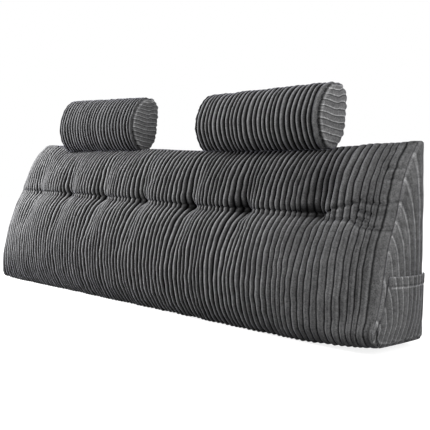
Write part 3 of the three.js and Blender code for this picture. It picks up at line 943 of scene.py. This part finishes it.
def make_pocket(end):
    bottom, mouth, margin = POCKET["bottom"], POCKET["mouth"], POCKET["margin"]
    seat = SEAM_X + SEAM_GAP + PANEL_THICKNESS + PANEL_RIB + POCKET["gap"]
    back_y = BACK - margin
    front = panel_front(end) + margin + POCKET_FRONT_TRIM
    y = np.linspace(back_y, front, int((back_y - front) / PANEL_GRID))
    low_z, high_z = panel_span(end, y - margin)
    low_z, high_z = np.maximum(low_z, bottom)[:, None], np.minimum(high_z, mouth)[:, None]
    below = np.linspace(0, POCKET_LEVELS["from"], POCKET_LEVELS["below"])
    hem = np.linspace(POCKET_LEVELS["from"], 1, POCKET_LEVELS["hem"])
    level = np.concatenate([below[:-1], hem])
    z = low_z + (high_z - low_z) * level
    yy = np.repeat(y[:, None], len(level), axis=1)

    front_y = seam_y(end, z) + margin
    across = np.clip((back_y - yy) / (back_y - front_y), 0, 1)
    up = (z - bottom) / (mouth - bottom)
    bulge = POCKET["bulge"] * up ** BULGE_POWER["up"]
    bulge = bulge * np.sin(math.pi * across) ** BULGE_POWER["across"]
    x = seat + panel_crown(end, yy, z) + bulge

    ribs = pocket_ribs(yy, z)
    profile = rib_profile(ribs % 1)
    to_edge = np.minimum(np.minimum(z - low_z, back_y - yy), yy - front_y)
    rim = rounded(to_edge / EDGE_ROUND)
    from_hem = z - (mouth - HEM["depth"])
    thick = POCKET["thickness"] * (EDGE_SHARE + (1 - EDGE_SHARE) * rim) + POCKET_RIB * profile * rim
    thick = thick + HEM["thicker"] * climb(from_hem, 0, HEM["step"])
    round_top = np.sqrt(climb(mouth - z, 0, HEM["round"]))
    thick = thick * (MOUTH_SHARE + (1 - MOUTH_SHARE) * round_top)
    stitch = bell((from_hem + STITCH["below"]) / STITCH["half"])
    thick = thick - STITCH["depth"] * stitch * profile

    out = np.stack([x + thick, yy, z], axis=-1)
    back = np.stack([x, yy, z], axis=-1)
    points, faces = shell(out, back)
    shade = both_sides(pocket_shade(yy, z, low_z))
    return make_mesh("pocket", points, faces, PANEL_CLOTH, both_sides(ribs), shade)


# Bolsters and their caps


def along_bolster(bolster, pair, x):
    """Reads a bolster's pair of values, one for each cap seam, at x."""
    share = (x - bolster["left"]) / (bolster["right"] - bolster["left"])
    return pair[0] + (pair[1] - pair[0]) * share


def bolster_point(bolster, x, across, up, inset):
    """y and z of a point of a bolster at x: `across` and `up` are its place in a round
    section, which turns into a leaning oval with squarer back quarters, resting on the
    ridge. `inset` is how far it lies inside."""
    turned = across / np.maximum(np.hypot(across, up), TINY)
    squarer = np.where(up > 0, *BOLSTER_SQUARE) * np.clip(turned * SQUARE_ONSET, 0, 1)
    power = 2 + squarer
    other = np.sqrt(np.maximum(1 - turned**2, 0))
    square = (np.abs(turned) ** power + other**power) ** (-1 / power)
    across, up = across * square, up * square
    rise = up * (along_bolster(bolster, bolster["half"], x) - inset)
    rise = rise - BOLSTER_SAG["depth"] * np.minimum(up, 0) ** BOLSTER_SAG["power"]
    lean = np.where(up > 0, *BOLSTER_LEAN) * rise
    y = BACK - BOLSTER_AXIS_DEPTH + across * (BOLSTER_HALF_DEPTH - inset) + lean
    floor = ridge_height(np.asarray(x, float)) + SOFT_GAP
    over = along_bolster(bolster, bolster["axis"], x) + rise - floor
    return y, floor + 0.5 * (over + np.sqrt(over**2 + SOFT_LANDING))


def end_gathers(angle):
    """Puckers round the seam of a cap, the same on the body and on the cap."""
    uneven = UNEVEN_GATHERS["size"] * np.sin(UNEVEN_GATHERS["count"] * angle)
    return np.cos(GATHERS["count"] * angle + uneven)


def shoulder(distance, size):
    return size * (1 - rounded(distance / size))


def around(sides):
    return 2 * math.pi * (np.arange(sides) + 0.5) / sides


def make_bolster(bolster):
    length = bolster["right"] - bolster["left"]
    k, t, along = uneven_ribs(BOLSTER_RIBS, length)
    rounding = shoulder(along, BOLSTER_SHOULDER[-1]) + shoulder(length - along, BOLSTER_SHOULDER[1])
    to_end = np.minimum(along, length - along)[:, None]
    aa, tt = np.meshgrid(around(BOLSTER_SIDES), t)
    x = np.repeat((bolster["left"] + along)[:, None], BOLSTER_SIDES, axis=1)

    waves, knots = (Ripple(*kind["waves"]) for kind in (BOLSTER_SWELL, BOLSTER_KNOTS))
    sizes = groove_sizes(BOLSTER_RIBS)[k][:, None]
    profile = rib_profile(tt)
    least = END_GROOVE["share"]
    fade = np.minimum(least + (1 - least) * to_end / END_GROOVE["reach"], 1)
    sink = BOLSTER_RIB * sizes * (1 - profile) * fade
    turn = aa * BOLSTER_TURN
    sink = sink - BOLSTER_KNOTS["size"] * knots.at(k[:, None] * NEXT_RIB, turn) * profile
    gather = GATHERS["size"] * bell(to_end / GATHERS["reach"]) * end_gathers(aa)
    swell = BOLSTER_SWELL["size"] * waves.at(turn, x)
    inset = rounding[:, None] + sink - gather - swell + BOLSTER_TRIM
    y, z = bolster_point(bolster, x, np.cos(aa), np.sin(aa), inset)
    points = np.stack([x, y, z], axis=-1)

    first, last = k == 0, k == BOLSTER_RIBS - 1
    place = np.where(last, t * LAST_TONE, np.where(first, FIRST_TONE + (1 - FIRST_TONE) * t, t))
    ribs = np.repeat((k + place)[:, None], BOLSTER_SIDES, axis=1)
    faces = grid_faces(len(along), BOLSTER_SIDES, True)
    ends = end_faces(len(along), BOLSTER_SIDES)
    # Painted shade on the underside, and over the whole of the left bolster.
    under = climb(-np.sin(aa), UNDERSIDE_SHADE["from"], 1)
    shade = bolster["shade"] * (1 - UNDERSIDE_SHADE["darker"] * under)
    name = f"bolster_{bolster['name']}_body"
    return make_mesh(name, points, faces, BOLSTER_CLOTH, ribs, shade, ends)


def make_cap(bolster, end, side):
    """A domed cap: rings out from its middle, with slanting ribs and gathers at its rim."""
    seam = bolster[side]
    radius = np.sin(np.linspace(CAP_MIDDLE, 1, CAP_RINGS) * math.pi / 2)
    rr, aa = np.meshgrid(radius, around(CAP_SIDES), indexing="ij")
    across, up = rr * np.cos(aa), rr * np.sin(aa)
    over = -across * math.sin(CAP_SLANT) + up * math.cos(CAP_SLANT)
    over = over + CAP_BEND["size"] * np.sin(CAP_BEND["turns"] * across + CAP_BEND["start"])
    ribs = (over * 0.5 + 0.5) * bolster["cap_ribs"] + 1
    profile = rib_profile(ribs % 1)
    puckers = end_gathers(aa)

    rim = np.sqrt(1 - climb(rr, CAP_SHOULDER, 1) ** 2)
    height = CAP_EDGE + (CAP_RIM - CAP_EDGE + CAP_RIB * profile) * rim
    height = height + CAP_CROWN * (1 - rr**CAP_DOME)
    height = height + CAP_PUCKER["size"] * bell((1 - rr) / CAP_PUCKER["reach"]) * puckers * rim
    scallop = CAP_SCALLOP["gather"] * puckers + CAP_SCALLOP["rib"] * (profile - 0.5)
    inset = BOLSTER_SHOULDER[end] - scallop * rr ** CAP_SCALLOP["power"]
    y, z = bolster_point(bolster, np.full_like(rr, seam), across, up, inset)
    base = seam + end * SEAM_GAP
    out = np.stack([base + end * height, y, z], axis=-1)
    back = np.stack([np.full_like(rr, base), y, z], axis=-1)

    count = CAP_RINGS * CAP_SIDES
    points = np.concatenate([out.reshape(-1, 3), back.reshape(-1, 3)])
    outer = grid_faces(CAP_RINGS, CAP_SIDES, True)
    here = count - CAP_SIDES + np.arange(CAP_SIDES)
    after = np.roll(here, -1)
    rim_faces = np.stack([after, here, here + count, after + count], axis=-1)
    faces = np.concatenate([outer, outer[:, ::-1] + count, rim_faces])
    middles = [list(range(CAP_SIDES))[::-1], list(range(count, count + CAP_SIDES))]

    seam_line = bell((rr - CAP_SEAM_TONE["at"]) / CAP_SEAM_TONE["half"])
    edge = climb(rr, CAP_EDGE_TONE["from"], CAP_EDGE_TONE["to"])
    shade = both_sides(1 + CAP_SEAM_TONE["by"] * seam_line + CAP_EDGE_TONE["by"] * edge)
    name = f"bolster_{bolster['name']}_cap_{side}_cloth"
    return make_mesh(name, points, faces, CAP_CLOTH, both_sides(ribs), shade, middles)


# The pieces

ENDS = (("left", -1), ("right", 1))


def dress(piece, node):
    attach(piece, "root")
    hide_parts(node)
    return piece


def cap_flat(bolster, end):
    """Width and height of the oval that a cap is cut from, in metres."""
    turned = CAP_RIM - BOLSTER_SHOULDER[end]
    half = bolster["half"][end > 0]
    return 2 * MILLIMETRE * (BOLSTER_HALF_DEPTH + turned), 2 * MILLIMETRE * (half + turned)


cover = dress(make_cover(), "wedge")
for side, end in ENDS:
    panel = dress(make_panel(f"panel_{side}", end), f"side_panel_{side}")
pocket = dress(make_pocket(1), "side_pocket_right")
for bolster in BOLSTERS:
    name = f"bolster_{bolster['name']}"
    body = dress(make_bolster(bolster), name)
    for side, end in ENDS:
        cap = dress(make_cap(bolster, end, side), f"{name}_cap_{side}")
        wide, high = cap_flat(bolster, end)


# Camera, lights and floor

PICTURE_SIDE = 430  # pixels
SENSOR = 36
# Its place in millimetres, and its turns in radians.
CAMERA = {"place": (1973.8, -1486.0, 423.0), "down": 0.0572, "turn": 0.8523, "focal_pixels": 781.6}
CAMERA_FAR = 50
FLOOR_REACH = 9
# The floor as it looks, and as it throws light on the object.
FLOOR_SEEN = {"grey": 0.45, "glow": 0.85}
FLOOR_GREY = 0.2
SURROUND = 0.22  # strength of the light from all round
SOFT_BOXES = (
    {"name": "left", "place": (-1.95, -0.8, 1.3), "aim": (-0.2, 0, 0.3), "side": 1.0, "watts": 130},
    {"name": "right", "place": (2.2, -0.3, 0.9), "aim": (0.5, 0, 0.35), "side": 1.0, "watts": 17},
)
SUN = {"name": "top", "towards": (-0.1, 0.1, 1), "strength": 1.1, "softness": 30}


def grey(level):
    return (level, level, level, 1)


def make_camera():
    data = bpy.data.cameras.new("camera")
    data.sensor_width = SENSOR
    data.lens = CAMERA["focal_pixels"] / PICTURE_SIDE * SENSOR
    data.clip_end = CAMERA_FAR
    camera = bpy.data.objects.new("camera", data)
    bpy.context.scene.collection.objects.link(camera)
    camera.location = to_frame(np.array(CAMERA["place"]))
    camera.rotation_euler = (math.pi / 2 - CAMERA["down"], 0, CAMERA["turn"])
    bpy.context.scene.camera = camera


def make_floor():
    mesh = bpy.data.meshes.new("floor")
    corners = [(x * FLOOR_REACH, y * FLOOR_REACH, 0) for x, y in ((-1, -1), (1, -1), (1, 1), (-1, 1))]
    mesh.from_pydata(corners, [], [(0, 1, 2, 3)])
    floor = bpy.data.objects.new("floor", mesh)
    bpy.context.scene.collection.objects.link(floor)
    material = bpy.data.materials.new("floor_paper")
    tree = NodeTree(material)
    socket(tree.shader, "Base Color", grey(FLOOR_SEEN["grey"]))
    socket(tree.shader, "Roughness", 1.0)
    socket(tree.shader, "Specular IOR Level", 0.0)
    socket(tree.shader, "Emission Color", grey(1))
    socket(tree.shader, "Emission Strength", FLOOR_SEEN["glow"])
    dim = tree.nodes.new("ShaderNodeBsdfDiffuse")
    socket(dim, "Color", grey(FLOOR_GREY))
    path = tree.nodes.new("ShaderNodeLightPath")
    pick = tree.nodes.new("ShaderNodeMixShader")
    tree.link(path.outputs["Is Camera Ray"], pick.inputs["Fac"])
    tree.link(dim.outputs["BSDF"], pick.inputs[1])
    tree.link(tree.shader.outputs["BSDF"], pick.inputs[2])
    tree.link(pick.outputs["Shader"], tree.nodes["Material Output"].inputs["Surface"])
    mesh.materials.append(material)


def turn_towards(light, x, y, z):
    """Turns a light so that it shines from the direction x, y, z."""
    light.rotation_euler = (math.atan2(math.hypot(x, y), z), 0, math.atan2(x, -y))


def make_light(kind, name, power):
    data = bpy.data.lights.new(name, kind)
    data.energy = power
    light = bpy.data.objects.new(name, data)
    bpy.context.scene.collection.objects.link(light)
    return light


def make_soft_box(name, place, aim, side, watts):
    """A square soft box `side` metres wide at `place`, turned towards `aim`."""
    light = make_light("AREA", name, watts)
    light.data.shape = "SQUARE"
    light.data.size = side
    light.location = place
    turn_towards(light, *(a - b for a, b in zip(place, aim)))


def make_sun(name, towards, strength, softness):
    """A soft light from far away, shining from the direction `towards`."""
    light = make_light("SUN", name, strength)
    light.data.angle = math.radians(softness)
    turn_towards(light, *towards)


def make_surround():
    """A white surround: full white behind the object, and dimmer as the light it gives."""
    world = bpy.data.worlds.new("studio")
    world.use_nodes = True
    tree = world.node_tree
    background = tree.nodes["Background"]
    socket(background, "Color", grey(1))
    path = tree.nodes.new("ShaderNodeLightPath")
    level = tree.nodes.new("ShaderNodeMapRange")
    socket(level, "To Min", SURROUND)
    socket(level, "To Max", 1.0)
    tree.links.new(path.outputs["Is Camera Ray"], level.inputs["Value"])
    tree.links.new(level.outputs["Result"], background.inputs["Strength"])
    bpy.context.scene.world = world


make_camera()
make_floor()
make_surround()
for soft_box in SOFT_BOXES:
    make_soft_box(**soft_box)
make_sun(**SUN)
bpy.context.scene.view_settings.view_transform = "Standard"
